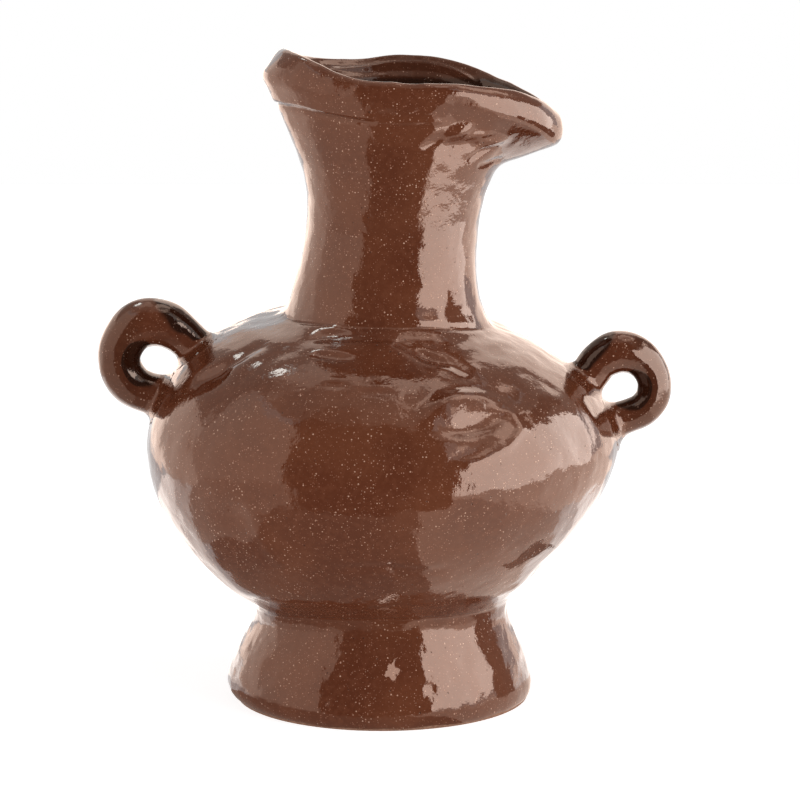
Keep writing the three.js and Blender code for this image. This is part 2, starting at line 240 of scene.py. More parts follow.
# The sheet: the whole skin, up the outside, over the rim and down the inside
theta = np.arange(STATIONS) / STATIONS * TAU
side = np.stack([-np.sin(theta), np.cos(theta), 0*theta], -1)
rings = control_rings(theta)


def place(v, depth, along=0.0):
    """points at a depth under the undented skin, for each angle"""
    below, here, above = centripetal(rings, [max(v - NUDGE, 0), v, min(v + NUDGE, AT_RIM_END)])
    upwards = unit(above - below)
    outward = unit(np.cross(side, upwards))
    return here - depth*outward + along*upwards


floor_edge = place(AT_SLAB_EDGE, WALL + STEP_DEPTH/2)
floor_edge[:, 2] = SLAB_THICKNESS + SLIP
inner_rings = [place(v, WALL, along) for v, along in INNER_PLACES] + [floor_edge]
all_rings = np.concatenate([rings, inner_rings])


def row_places(points):
    """values of v at even steps of about the length wanted there, with one at each control ring"""
    rows = [0.0]
    for k in range(len(points) - 1):
        here = centripetal(points, np.linspace(k, k + 1, 9))
        length = np.linalg.norm(np.diff(here, axis=0), axis=-1).sum(0).max()
        inner_step = MOUTH_STEP if k <= AT_RIM_END + MOUTH_RINGS else DEEP_STEP
        count = max(math.ceil(length / (OUTER_STEP if k < AT_RIM_END else inner_step)), 2)
        rows += list(k + np.arange(1, count + 1) / count)
    return np.array(rows)


places = row_places(all_rings)
row_of = {k: int(np.argmin(abs(places - k))) for k in range(len(all_rings))}
undented = centripetal(all_rings, places)


def normals_of(sheet):
    around = np.roll(sheet, -1, axis=1) - np.roll(sheet, 1, axis=1)
    up = np.gradient(sheet, axis=0)
    return unit(np.cross(around, up))


plain_normals = normals_of(undented)

# The relief: what the potter's hands left on the skin. It is put together from unevenness of several
# sizes, each with its height and how far apart its marks are, and from single dents and creases.
LUMPS = Noise(11)
DIMPLES = Noise(12)
RIPPLES = Noise(13)
LUMP_HEIGHT, LUMP_SPACING = 1.2, 46.0
DIMPLE_HEIGHT, DIMPLE_SPACING = 0.9, 19.0
RIPPLE_HEIGHT, RIPPLE_SPACING = 0.36, 8.0
GRAIN_HEIGHT, FOOT_GRAIN_HEIGHT, GRAIN_SPACING = 0.1, 0.19, 3.7
INSIDE_HEIGHT, INSIDE_SPACING = 0.9, 30.0

# Stretches of the profile where the unevenness changes, and how much less of it the neck, the foot and
# the still places have
SLAB_STRETCH = (0.0, 1.4)
WAIST_STRETCH = (2.6, 3.4)
NECK_STRETCHES = ((10.3, 11.5), (13.5, 14.5))
RIM_STRETCH = (17.6, 19.0)
CALM = 0.6
STILLNESS = 0.9

# How soon a dent fades out from its middle
DENT_FADE = 0.7


def surface_frame(angle, v):
    """a place on the undented skin, with the directions to the right and up along the skin there"""
    a = math.radians(angle)
    near = control_rings(np.array([a - NUDGE, a, a + NUDGE]))
    below, here, above = centripetal(near, [v - 2*NUDGE, v, v + 2*NUDGE])
    right = unit(here[2] - here[0])
    up = above[1] - below[1]
    up = unit(up - right * (up @ right))
    return here[1], right, up


def dent(points, angle, v, width, height, depth=0.0, turn=0.0, edge=2.0, tilt=(0.0, 0.0)):
    """a hollow pressed in the skin, or a lump where its depth is negative, and a facet where it has a tilt,
    which is how steeply it rises to the right and up; a high edge makes its rim crisp"""
    centre, right, up = surface_frame(angle, v)
    offset = points - centre
    c, s = math.cos(math.radians(turn)), math.sin(math.radians(turn))
    a = offset @ (c*right + s*up) / (width/2)
    b = offset @ (c*up - s*right) / (height/2)
    away = offset @ np.cross(right, up) / max(width, height)
    r = np.sqrt(a*a + b*b + away*away)
    return (tilt[0]*a*width/2 + tilt[1]*b*height/2 - depth) * np.exp(-DENT_FADE * r**edge)


def crease(points, path, width, depth, lift=0.0, lift_width=4.0):
    """a groove along a path of (angle, v) places, or a ridge where its depth is negative, tapering to its
    ends, with a lift on its upper side"""
    corners = np.array([surface_frame(angle, v)[0] for angle, v in path])
    outwards = np.cross(*surface_frame(*path[len(path)//2])[1:])
    best = np.full(points.shape[:-1], 1e9)
    along = np.zeros_like(best)
    signed = np.zeros_like(best)
    lengths = np.linalg.norm(np.diff(corners, axis=0), axis=-1)
    starts = np.concatenate([[0], np.cumsum(lengths)])
    for i, length in enumerate(lengths):
        step = (corners[i + 1] - corners[i]) / length
        offset = points - corners[i]
        t = np.clip(offset @ step, 0, length)
        gap = np.linalg.norm(offset - t[..., None]*step, axis=-1)
        closer = gap < best
        best = np.where(closer, gap, best)
        along = np.where(closer, (starts[i] + t) / starts[-1], along)
        signed = np.where(closer, offset @ np.cross(outwards, step), signed)
    taper = np.clip(4 * along * (1 - along), 0, 1)**0.5
    groove = -depth * np.exp(-(best/width)**2)
    raised = lift * np.exp(-(best/lift_width)**2) * (signed > 0) * (1 - np.exp(-(best/width)**2))
    return taper * (groove + raised)


def relief(points, v):
    """how far the skin stands out from its plain form at each point: hand marks, dents and ripples"""
    neck = smooth(*NECK_STRETCHES[0], v) * (1 - smooth(*NECK_STRETCHES[1], v))
    foot = 1 - smooth(*WAIST_STRETCH, v)
    hand = LUMP_HEIGHT*LUMPS(points, LUMP_SPACING) + DIMPLE_HEIGHT*DIMPLES(points, DIMPLE_SPACING)
    total = (1 - CALM*(neck + foot)) * hand + RIPPLE_HEIGHT*RIPPLES(points, RIPPLE_SPACING)
    total = total + mix(GRAIN_HEIGHT, FOOT_GRAIN_HEIGHT, foot) * RIPPLES(points, GRAIN_SPACING)
    for mark in STILL_PLACES:
        total = total * (1 + dent(points, depth=STILLNESS, **mark))
    for mark in DENTS:
        total = total + dent(points, **mark)
    for mark in CREASES:
        total = total + crease(points, **mark)
    total = total * smooth(*SLAB_STRETCH, v)
    return mix(total, INSIDE_HEIGHT*LUMPS(points, INSIDE_SPACING), smooth(*RIM_STRETCH, v))


# Two smooth places on the shoulder's upper left
STILL_PLACES = [
    dict(angle=236, v=8.2, width=95, height=62),
    dict(angle=256, v=8.9, width=22, height=12),
]

# Flattened and hollow places, small facets that catch the light, and a few lumps
DENTS = [
    # The belly's flattened front, and the hollows below the left handle
    dict(angle=262, v=6.2, width=62, height=72, depth=2.2),
    dict(angle=180, v=4.45, width=36, height=20, depth=3.2),
    dict(angle=180, v=3.75, width=36, height=12, depth=1.8),
    # The shoulder's left and middle
    dict(angle=211, v=7.6, width=17, height=10, depth=1.2, turn=28, edge=3),
    dict(angle=252, v=8.95, width=17, height=6, tilt=(0, 0.34), turn=-4, edge=6),
    dict(angle=257.5, v=8.0, width=9, height=4, tilt=(0, 0.3), edge=4),
    dict(angle=271.5, v=7.88, width=13, height=4.5, tilt=(0, 0.3), edge=4),
    dict(angle=264, v=9.75, width=42, height=9, depth=1.4, edge=4),
    # The shoulder's right, with the leaf inside the ring of creases, and the belly below it
    dict(angle=299, v=8.5, width=11, height=5, depth=-0.9, turn=-15),
    dict(angle=296, v=7.32, width=31, height=17, tilt=(-0.03, 0.36), turn=6, edge=5),
    dict(angle=298, v=6.64, width=36, height=9, tilt=(0, -0.16), turn=22, edge=3),
    dict(angle=323, v=5.9, width=52, height=24, depth=3.0),
    # Pinches below the lip's right lobe, and the neck's right side
    dict(angle=298, v=13.75, width=15, height=5, tilt=(0.3, 0), turn=32, edge=3),
    dict(angle=309, v=13.75, width=14, height=5, tilt=(0.3, 0), turn=36, edge=3),
    dict(angle=321, v=13.9, width=12, height=5, tilt=(0.3, 0), turn=36, edge=3),
    dict(angle=300, v=12.3, width=40, height=44, tilt=(0.06, -0.06)),
    # Small hollows on the belly
    dict(angle=311.5, v=7.56, width=13, height=10, depth=1.2),
    dict(angle=232, v=5.44, width=13, height=9, depth=1.2),
    # The foot: pits, a hollow and a lump
    dict(angle=291, v=1.85, width=6, height=5, depth=0.4),
    dict(angle=300, v=2.0, width=4, height=8, depth=0.4),
    dict(angle=307, v=2.3, width=5, height=6, depth=0.4),
    dict(angle=262, v=2.0, width=26, height=26, depth=0.8, edge=3),
    dict(angle=290, v=2.3, width=30, height=18, depth=-0.5, edge=3),
]

# Folds and seams: grooves, ridges and lifted edges. The first seven are on the shoulder and the belly,
# then come the seams at the neck's base and the waist, and the rest is the fold and pinches of the lip.
CREASES = [
    dict(path=[(205, 7.44), (207.5, 7.62), (212.5, 7.88), (215, 8.25), (215.5, 8.62), (218, 9.0)],
         width=4.2, depth=1.5),
    dict(path=[(224, 7.65), (228, 8.2), (231, 8.8), (236, 9.3), (243, 9.8)], width=4.5, depth=0.6),
    dict(path=[(276, 9.5), (286, 9.2), (294, 8.85), (301, 8.5), (306, 8.2)], width=3.2, depth=2.0),
    dict(path=[(303, 7.35), (309, 7.2), (309.5, 6.85), (303.5, 6.6), (294, 6.42), (287, 6.42)], width=1.7,
         depth=-0.9),
    dict(path=[(236, 5.8), (238, 5.44), (241, 5.0), (244, 4.7)], width=2.8, depth=-0.9),
    dict(path=[(258, 4.69), (267.5, 4.75), (274, 4.76), (283, 4.69), (291, 4.69)], width=1.7, depth=0.7),
    dict(path=[(273.5, 4.82), (278, 4.58)], width=1.3, depth=0.8),
    dict(path=[(a, 10.03) for a in range(185, 356, 10)], width=1.4, depth=1.2),
    dict(path=[(a, 3.1) for a in range(185, 356, 10)], width=1.6, depth=0.6),
    dict(path=[(176, 14.05)] + [(a, 14) for a in range(184, 262, 9)], width=1.2, depth=0.9, lift=1.7,
         lift_width=6),
    dict(path=[(245, 13.96), (262, 13.95), (280, 13.95), (300, 13.96)], width=0.9, depth=0.25, lift=0.3,
         lift_width=3),
    dict(path=[(255, 13.5), (272, 13.52), (289, 13.5)], width=1.0, depth=0.2),
    dict(path=[(313, 13.5), (322, 13.75), (331, 14.05)], width=1.4, depth=0.9),
    dict(path=[(305, 13.62), (315, 13.9), (325, 14.15)], width=1.3, depth=0.7),
    dict(path=[(322, 13.45), (337, 13.69), (345, 14.0)], width=1.6, depth=0.8),
]

skin_relief = relief(undented, places[:, None])
sheet = undented + skin_relief[..., None] * plain_normals
sheet_normals = normals_of(sheet)

# Where the vase's axis lies in the frame, whose middle is that of the whole part's box
vase_shift = 1000 * sum(c.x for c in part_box("base_slab")) / 2

# The angle between faces from which an edge of the slab's pieces is sharp, in degrees
SHARP_ANGLE = 40


def mesh_object(name, points, faces, material, normals=None):
    """an object from points in millimetres, faces, and a normal for each corner of each face"""
    mesh = bpy.data.meshes.new(name)
    moved = (np.asarray(points, float) + (vase_shift, 0, 0)) * MM
    mesh.vertices.add(len(moved))
    mesh.vertices.foreach_set("co", moved.ravel())
    sizes = np.array([len(f) for f in faces])
    corners = np.concatenate([np.asarray(f) for f in faces])
    mesh.loops.add(len(corners))
    mesh.loops.foreach_set("vertex_index", corners)
    mesh.polygons.add(len(faces))
    mesh.polygons.foreach_set("loop_start", np.concatenate([[0], np.cumsum(sizes)[:-1]]))
    mesh.materials.append(material)
    mesh.update(calc_edges=True)
    if normals is not None:
        mesh.normals_split_custom_set(np.asarray(normals).reshape(-1, 3).tolist())
    thing = bpy.data.objects.new(name, mesh)
    bpy.context.scene.collection.objects.link(thing)
    return thing


def quads_between(here, above, around=STATIONS):
    """faces of four from each row of points to the one above it, given the rows' numbers"""
    first, second = (np.asarray(rows)[:, None] * around for rows in (here, above))
    j = np.arange(around)
    k = (j + 1) % around
    return np.stack([first + j, first + k, second + k, second + j], -1).reshape(-1, 4)


def section(name, bottom, top, material):
    """the piece of wall between two joints, closed, with a stepped joint at each end"""
    outer = range(row_of[bottom], row_of[top or AT_RIM_END] + 1)
    inner_end = row_of[INNER_JOINTS[bottom]] if bottom in INNER_JOINTS else len(places) - 1
    rows, row_normals = [sheet[i] for i in outer], [sheet_normals[i] for i in outer]
    joint_rows = []

    def joint(v, depth, along, height=None):
        at = row_of[v]
        row = place(v, depth, along) + skin_relief[at][:, None]*plain_normals[at]
        if height is not None:
            row[:, 2] = height
        joint_rows.append(len(rows))
        rows.append(row)
        row_normals.append(sheet_normals[at])

    inner_start = row_of[AT_RIM_END] + 1
    if top:
        joint(top, STEP_DEPTH, 0)
        joint(top, STEP_DEPTH, TONGUE)
        inner_start = row_of[INNER_JOINTS[top]]
    inner = range(inner_start, inner_end + 1)
    rows += [sheet[i] for i in inner]
    row_normals += [sheet_normals[i] for i in inner]
    if bottom in INNER_JOINTS:
        joint(bottom, STEP_DEPTH - SLIP, TONGUE + SLIP)
        joint(bottom, STEP_DEPTH - SLIP, SLIP)
    else:
        joint(bottom, STEP_DEPTH - SLIP, 0, SLAB_THICKNESS + SLIP)
        joint(bottom, STEP_DEPTH - SLIP, 0, SLAB_EDGE + SLIP)

    here = np.arange(len(rows))
    above = (here + 1) % len(rows)
    faces = quads_between(here, above)
    points = np.concatenate(rows)
    corners = points[faces]
    face_normals = unit(np.cross(corners[:, 2] - corners[:, 0], corners[:, 3] - corners[:, 1]))
    smooth_row = np.ones(len(rows), bool)
    smooth_row[joint_rows] = False
    is_smooth = np.repeat(smooth_row & smooth_row[above], STATIONS)
    normals = np.concatenate(row_normals)[faces]
    normals = np.where(is_smooth[:, None, None], normals, face_normals[:, None, :])
    return mesh_object(name, points, faces, material, normals)


def closed_round(name, rows, material, poles=False):
    """a closed mesh from rows of points round the axis; with poles its first and last rows are one point"""
    ends = (0, len(rows) - 1) if poles else ()
    rows = [row[:1] if i in ends else row for i, row in enumerate(rows)]
    starts = np.cumsum([0] + [len(row) for row in rows])
    faces = []
    for i in range(len(rows) - 1 if poles else len(rows)):
        up = (i + 1) % len(rows)
        for j in range(STATIONS):
            k = (j + 1) % STATIONS
            corners = [starts[row] + at % len(rows[row]) for row, at in ((i, j), (i, k), (up, k), (up, j))]
            faces.append(list(dict.fromkeys(corners)))
    thing = mesh_object(name, np.concatenate(rows), faces, material)
    thing.data.set_sharp_from_angle(angle=math.radians(SHARP_ANGLE))
    return thing


def circle_row(radius, z):
    return np.stack([radius*np.cos(theta), radius*np.sin(theta), z + 0*theta], -1)


def tube_mesh(name, tube, material, normals):
    """a closed tube from rings of points, with a flat end at each side"""
    steps, sides = tube.shape[:2]
    points = np.concatenate([tube.reshape(-1, 3), tube[0].mean(0)[None], tube[-1].mean(0)[None]])
    quads = quads_between(range(steps - 1), range(1, steps), sides)
    faces = list(quads)
    corner_normals = list(normals.reshape(-1, 3)[quads.ravel()])
    for end, first, flip in ((steps*sides, 0, True), (steps*sides + 1, (steps - 1)*sides, False)):
        for s in range(sides):
            tri = [first + s, first + (s + 1) % sides, end]
            tri = tri[::-1] if flip else tri
            faces.append(tri)
            a, b, c = points[tri]
            corner_normals += [unit(np.cross(b - a, c - a))] * 3
    return mesh_object(name, points, faces, material, corner_normals)


# The handles' coils. Each point is its way out and up, in shares of the reach, and the share of the
# radius there. The first two are measured from the upper root, the last two from the lower root and
# the others from half way between.
LEFT_COIL = dict(angle=180.0, reach=24.0, radius=9.0, upper_root=8, lower_root=6.75, points=[
    (-0.12, -0.25, 0.95), (0.14, 0, 0.84), (-0.02, 0.63, 0.9), (0.2, 0.77, 1.02), (0.44, 0.81, 1.06),
    (0.67, 0.74, 1.05), (0.86, 0.54, 0.97), (0.96, 0.24, 0.92), (0.91, -0.01, 0.91), (0.74, -0.24, 0.9),
    (0.5, -0.35, 0.86), (-0.04, 0.05, 0.88), (-0.35, -0.12, 0.96)])
RIGHT_COIL = dict(angle=0.0, reach=20.0, radius=8.3, upper_root=7.2, lower_root=6.3, points=[
    (-0.45, -0.5, 1.05), (0.1, 0.1, 0.88), (-0.01, 0.79, 0.93), (0.32, 0.96, 1.01), (0.65, 0.9, 0.93),
    (0.9, 0.69, 0.83), (1.04, 0.39, 0.81), (1.01, 0.06, 0.81), (0.82, -0.17, 0.79), (0.54, -0.3, 0.78),
    (-0.01, 0.03, 0.86), (-0.45, -0.2, 1)])
COIL_STEPS = 190
COIL_SIDES = 56

# Over how many steps each way a coil's radii and rings are evened out, and its unevenness
RADII_EVENED = 6
RINGS_EVENED = 8
COIL_LUMP_HEIGHT, COIL_LUMP_SPACING = 0.9, 22.0
COIL_DIMPLE_HEIGHT, COIL_DIMPLE_SPACING = 0.35, 9.0

# The share of a coil at each end that may meet the wall, the fillet there, how deep the root is sunk,
# and how far off the wall its shading blends with the wall's
ROOT_SHARE = 0.42
FILLET = 4.0
SUNK = 2.5
ROOT_BLEND = 3.2


def belly_skin():
    """a function that finds the nearest place on the outside between the waist and the neck"""
    rows = slice(row_of[AT_WAIST], row_of[AT_NECK_BASE + 1] + 1)
    points = sheet[rows].reshape(-1, 3)
    normals = sheet_normals[rows].reshape(-1, 3)
    count = rows.stop - rows.start
    quads = quads_between(range(count - 1), range(1, count))
    tree = BVHTree.FromPolygons(points.tolist(), quads.tolist())

    def nearest(point):
        spot, _, index, _ = tree.find_nearest(Vector(point))
        spot = np.array(spot)
        normal = unit(normals[quads[index]].mean(0))
        return spot, normal, float((point - spot) @ normal)
    return nearest


def evened(rows, reach):
    """rows averaged with their neighbours within reach, with more weight on the nearer ones"""
    weights = np.hanning(2*reach + 3)[1:-1]
    padded = np.pad(rows, [(reach, reach)] + [(0, 0)]*(rows.ndim - 1), mode="edge")
    return sum(w * padded[k:k + len(rows)] for k, w in enumerate(weights / weights.sum()))


def coil_tube(coil):
    """a rolled coil bent into a ring: its rings of points, and the direction outwards at each"""
    angle = math.radians(coil["angle"])
    out = np.array([math.cos(angle), math.sin(angle), 0])
    across = np.array([-math.sin(angle), math.cos(angle), 0])
    upper, lower = (surface_frame(coil["angle"], coil[root])[0] for root in ("upper_root", "lower_root"))
    outwards, upwards, shares = np.array(coil["points"]).T[:, :, None]
    anchors = np.array([upper]*2 + [(upper + lower)/2]*(len(shares) - 4) + [lower]*2)
    centres = anchors + coil["reach"]*(outwards*out + upwards*np.array([0, 0, 1]))
    t = np.linspace(0, len(centres) - 1, COIL_STEPS)
    path = centripetal(centres, t)
    radii = evened(coil["radius"] * np.interp(t, range(len(centres)), shares[:, 0]), RADII_EVENED)
    in_plane = unit(np.cross(across, unit(np.gradient(path, axis=0))))
    turn = np.arange(COIL_SIDES) / COIL_SIDES * TAU
    radial = np.cos(turn)[None, :, None]*in_plane[:, None] + np.sin(turn)[None, :, None]*across
    tube = path[:, None] + radii[:, None, None]*radial
    tube[RINGS_EVENED:-RINGS_EVENED] = evened(tube, RINGS_EVENED)[RINGS_EVENED:-RINGS_EVENED]
    uneven = (COIL_LUMP_HEIGHT*LUMPS(tube, COIL_LUMP_SPACING)
              + COIL_DIMPLE_HEIGHT*DIMPLES(tube, COIL_DIMPLE_SPACING))
    return tube + uneven[..., None]*radial, radial


def smear_roots(tube, radial, nearest):
    """flares a tube's rings where they come near the wall and keeps them just below its skin; gives the
    height of each point over the skin and the skin's normal there"""
    heights = np.full(tube.shape[:2], np.inf)
    skin_normals = np.zeros(tube.shape)
    for i in range(COIL_STEPS):
        if min(i, COIL_STEPS - 1 - i) >= COIL_STEPS*ROOT_SHARE:
            continue
        for s in range(COIL_SIDES):
            spot, normal, height = nearest(tube[i, s])
            if height < FILLET:
                flare = FILLET * (1 - math.sqrt(1 - min(1 - height/FILLET, 1)**2))
                along_skin = radial[i, s] - (radial[i, s] @ normal)*normal
                tube[i, s] += flare * unit(along_skin)
                spot, normal, height = nearest(tube[i, s])
            if height < -SUNK:
                tube[i, s] = spot - SUNK*normal
                height = -SUNK
            heights[i, s] = height
            skin_normals[i, s] = normal
    return heights, skin_normals


def handle(name, coil, material, nearest):
    """a rolled coil bent into a ring, its roots smeared out over the wall"""
    tube, radial = coil_tube(coil)
    heights, skin_normals = smear_roots(tube, radial, nearest)
    weight = (1 - smooth(0.0, ROOT_BLEND, heights))[..., None]
    normals = unit(normals_of(tube)*(1 - weight) + skin_normals*weight)
    return tube_mesh(name, tube, material, normals)


# Materials
def node(tree, kind, inputs=None, **settings):
    """a new shader node, its inputs linked to sockets or set to values"""
    made = tree.nodes.new(kind)
    for key, value in settings.items():
        setattr(made, key, value)
    for key, value in (inputs or {}).items():
        if isinstance(value, bpy.types.NodeSocket):
            tree.links.new(value, made.inputs[key])
        else:
            made.inputs[key].default_value = value
    return made


def new_material(name):
    material = bpy.data.materials.new(name)
    material.use_nodes = True
    material.node_tree.nodes.clear()
    return material, material.node_tree


def ramp(tree, value, low, high, to_low=0.0, to_high=1.0):
    """a value turned smoothly from one range into another, and kept within it"""
    inputs = {"Value": value, "From Min": low, "From Max": high, "To Min": to_low, "To Max": to_high}
    return node(tree, "ShaderNodeMapRange", inputs, interpolation_type="SMOOTHSTEP").outputs[0]


def maths(tree, kind, a, b=0.0):
    return node(tree, "ShaderNodeMath", {0: a, 1: b}, operation=kind).outputs[0]


def noise_texture(tree, where, scale, detail, roughness=0.5):
    inputs = {"Vector": where, "Scale": scale, "Detail": detail, "Roughness": roughness}
    return node(tree, "ShaderNodeTexNoise", inputs).outputs[0]


def blended(tree, factor, a, b, kind="MIX"):
    made = node(tree, "ShaderNodeMix", data_type="RGBA", blend_type=kind)
    sockets = {s.identifier: s for s in made.inputs}
    for key, value in (("Factor_Float", factor), ("A_Color", a), ("B_Color", b)):
        if isinstance(value, bpy.types.NodeSocket):
            tree.links.new(value, sockets[key])
        else:
            sockets[key].default_value = value
    return next(s for s in made.outputs if s.identifier == "Result_Color")


# Colours of the glaze, its grains, the painted shade in its pits and of the bare clay, as linear red,
# green, blue and alpha
GLAZE_COLOURS = ((0.103, 0.0272, 0.0117, 1), (0.134, 0.0392, 0.0172, 1))
MOTTLE_COLOUR = (0.165, 0.054, 0.027, 1)
SMALL_GRAIN_COLOURS = ((0.21, 0.08, 0.045, 1), (0.38, 0.18, 0.12, 1))
PALE_GRAIN_COLOURS = ((0.4, 0.2, 0.135, 1), (0.6, 0.37, 0.265, 1))
PIT_SHADE_COLOUR = (0.045, 0.012, 0.006, 1)
GLOSS_TINT = (1.0, 0.85, 0.77, 1)
CLAY_COLOURS = ((0.225, 0.105, 0.062, 1), (0.33, 0.175, 0.11, 1))

# Grains and pits in the glaze: the size of the cells that can hold one each and their range of radii,
# in metres, and the share of the cells that do, which varies for the pale grains
SMALL_GRAINS = dict(size=0.0008, radii=(0.00006, 0.00022), share=0.75)
PALE_GRAINS = dict(size=0.0012, radii=(0.00005, 0.0003))
PALE_GRAIN_SHARES = (0.12, 0.9)
PITS = dict(size=0.0027, radii=(0.0001, 0.0004), share=0.45)

# The glaze's bumps: their height, and how deep pits and how high pale grains are beside the ripples
BUMP_HEIGHT = 0.00015
PIT_DEPTH = 0.5
GRAIN_BUMP = 0.12

# Painted shade on the glaze: the share of its colour it loses inside, from deep down to just below the lip,
# and on the handles, with the heights and the distance from the middle where these start
INSIDE_SHADES = (0.3, 0.8)
LIP_SHADE_HEIGHTS = (0.239, 0.2355)
HANDLE_SHADE = 0.3
HANDLE_SHADE_SIDES = (0.09, 0.1)
MOUTH_MIDDLE = 0.006


def specks(tree, where, size, radii, share):
    """round grains scattered through the glaze, one at most in each cell, and a tone for each"""
    cells = node(tree, "ShaderNodeTexVoronoi", {"Vector": where, "Scale": 1/size, "Randomness": 1.0},
                 feature="F1", voronoi_dimensions="3D")
    parts = node(tree, "ShaderNodeSeparateColor", {"Color": cells.outputs["Color"]})
    reach = ramp(tree, parts.outputs[0], 0, 1, radii[0]/size, radii[1]/size)
    inside = maths(tree, "SUBTRACT", reach, cells.outputs["Distance"])
    edge = ramp(tree, inside, -0.02, 0.05)
    chosen = maths(tree, "LESS_THAN", parts.outputs[1], share)
    return maths(tree, "MULTIPLY", edge, chosen), parts.outputs[2]


def painted_shade(tree):
    """painted shade: the share of its colour that the glaze keeps, less on the handles and inside, least
    below the lip
    """
    spot = node(tree, "ShaderNodeTexCoord")
    x, y, z = node(tree, "ShaderNodeSeparateXYZ", {"Vector": spot.outputs["Object"]}).outputs
    facing = node(tree, "ShaderNodeSeparateXYZ", {"Vector": spot.outputs["Normal"]}).outputs
    from_middle = maths(tree, "SUBTRACT", x, MOUTH_MIDDLE)
    outwards = maths(tree, "ADD", maths(tree, "MULTIPLY", from_middle, facing[0]),
                     maths(tree, "MULTIPLY", y, facing[1]))
    inner = ramp(tree, outwards, -0.005, -0.015)
    below_lip = ramp(tree, z, *LIP_SHADE_HEIGHTS)
    inside = maths(tree, "MULTIPLY", inner, ramp(tree, below_lip, 0, 1, *INSIDE_SHADES))
    painted_handle_shade = ramp(tree, maths(tree, "ABSOLUTE", x), *HANDLE_SHADE_SIDES, 0, HANDLE_SHADE)
    return maths(tree, "SUBTRACT", 1.0, maths(tree, "MAXIMUM", inside, painted_handle_shade))


def glaze_material():
    """a glossy brown glaze, mottled, with grains of two kinds, pits with painted shade, a rippled surface,
    and painted shade inside and on the handles
    """
    material, tree = new_material("glaze")
    where = node(tree, "ShaderNodeTexCoord").outputs["Object"]
    broad = noise_texture(tree, where, 34, 2.0)
    fine = noise_texture(tree, where, 420, 3.0)
    colour = blended(tree, ramp(tree, broad, 0.35, 0.7), *GLAZE_COLOURS)
    colour = blended(tree, ramp(tree, fine, 0.42, 0.7, 0, 0.35), colour, MOTTLE_COLOUR)

    small, small_tone = specks(tree, where, **SMALL_GRAINS)
    colour = blended(tree, small, colour, blended(tree, small_tone, *SMALL_GRAIN_COLOURS))
    crowding = ramp(tree, noise_texture(tree, where, 75, 1.0), 0.4, 0.66, *PALE_GRAIN_SHARES)
    pale, pale_tone = specks(tree, where, share=crowding, **PALE_GRAINS)
    colour = blended(tree, pale, colour, blended(tree, pale_tone, *PALE_GRAIN_COLOURS))
    pits, pit_tone = specks(tree, where, **PITS)
    # painted shade in the pits: some are darkened more than others
    painted_pit_shade = maths(tree, "MULTIPLY", pits, ramp(tree, pit_tone, 0.4, 0.6, 0, 0.8))
    colour = blended(tree, painted_pit_shade, colour, PIT_SHADE_COLOUR)
    # painted shade: the glaze is darkened inside the mouth and on the handles
    colour = blended(tree, 1.0, colour, painted_shade(tree), kind="MULTIPLY")

    ripples = noise_texture(tree, where, 260, 3.5, roughness=0.55)
    height = maths(tree, "SUBTRACT", ripples, maths(tree, "MULTIPLY", pits, PIT_DEPTH))
    height = maths(tree, "ADD", height, maths(tree, "MULTIPLY", pale, GRAIN_BUMP))
    bump = node(tree, "ShaderNodeBump", {"Strength": 1.0, "Distance": BUMP_HEIGHT, "Height": height})
    shine = node(tree, "ShaderNodeBsdfPrincipled", {
        "Base Color": colour, "Roughness": 0.06, "IOR": 1.65, "Specular Tint": GLOSS_TINT,
        "Normal": bump.outputs[0]})
    node(tree, "ShaderNodeOutputMaterial", {"Surface": shine.outputs[0]})
    return material


def bare_clay_material():
    """the matt, sandy clay below the foot"""
    material, tree = new_material("bare_clay")
    where = node(tree, "ShaderNodeTexCoord").outputs["Object"]
    grog = noise_texture(tree, where, 900, 4.0)
    colour = blended(tree, ramp(tree, grog, 0.35, 0.7), *CLAY_COLOURS)
    bump = node(tree, "ShaderNodeBump", {"Strength": 0.8, "Distance": 0.0002, "Height": grog})
    matt = node(tree, "ShaderNodeBsdfPrincipled", {
        "Base Color": colour, "Roughness": 0.85, "Normal": bump.outputs[0]})
    node(tree, "ShaderNodeOutputMaterial", {"Surface": matt.outputs[0]})
    return material


glaze = glaze_material()
bare_clay = bare_clay_material()

# The recess below, from its middle to its edge, as radii and heights
RECESS_PROFILE = [
    (0.0, RECESS_DEPTH), (RECESS_RADIUS - 2*RECESS_DEPTH, RECESS_DEPTH),
    (RECESS_RADIUS - RECESS_DEPTH, 0.75*RECESS_DEPTH), (RECESS_RADIUS - 0.6, 0.35), (RECESS_RADIUS, 0)]

# The glaze pooled on the floor inside, from below: radii, and heights over the slab
FLOOR_GLAZE_PROFILE = [(0.0, 0), (48.2, 0), (48.9, 2.2), (47.6, 1.3), (45.5, 0.8), (30.0, 0.6), (0.0, 0.6)]

# The glaze on the slab's edge: its thickness, its gap to the clay, the height where it ends and how much
# that varies, and how far its lowest row is rounded off
GLAZE_COAT = 0.5
COAT_GAP = 0.02
DRIP_HEIGHT = 1.1
DRIP_WAVE, DRIP_SPACING = 1.2, 14.0
DRIP_ROUNDING = 0.45
BAND_STEPS = 6

EDGE_ROWS = range(row_of[AT_SLAB_EDGE] + 1)

# Keeps what points have sideways and puts them at height 0
FLAT = np.array([1, 1, 0])


def slab_clay():
    """the slab of bare clay, with its recess below and the raised middle that the foot laps over"""
    recess = [circle_row(radius, height) for radius, height in RECESS_PROFILE]
    edge = [sheet[i] - GLAZE_COAT*plain_normals[i]*FLAT for i in EDGE_ROWS]
    seat = place(AT_SLAB_EDGE, STEP_DEPTH) * FLAT
    middle = [seat + (0, 0, SLAB_EDGE), seat + (0, 0, SLAB_THICKNESS), circle_row(0.0, SLAB_THICKNESS)]
    return closed_round("base_slab_clay", recess + edge + middle, bare_clay, poles=True)


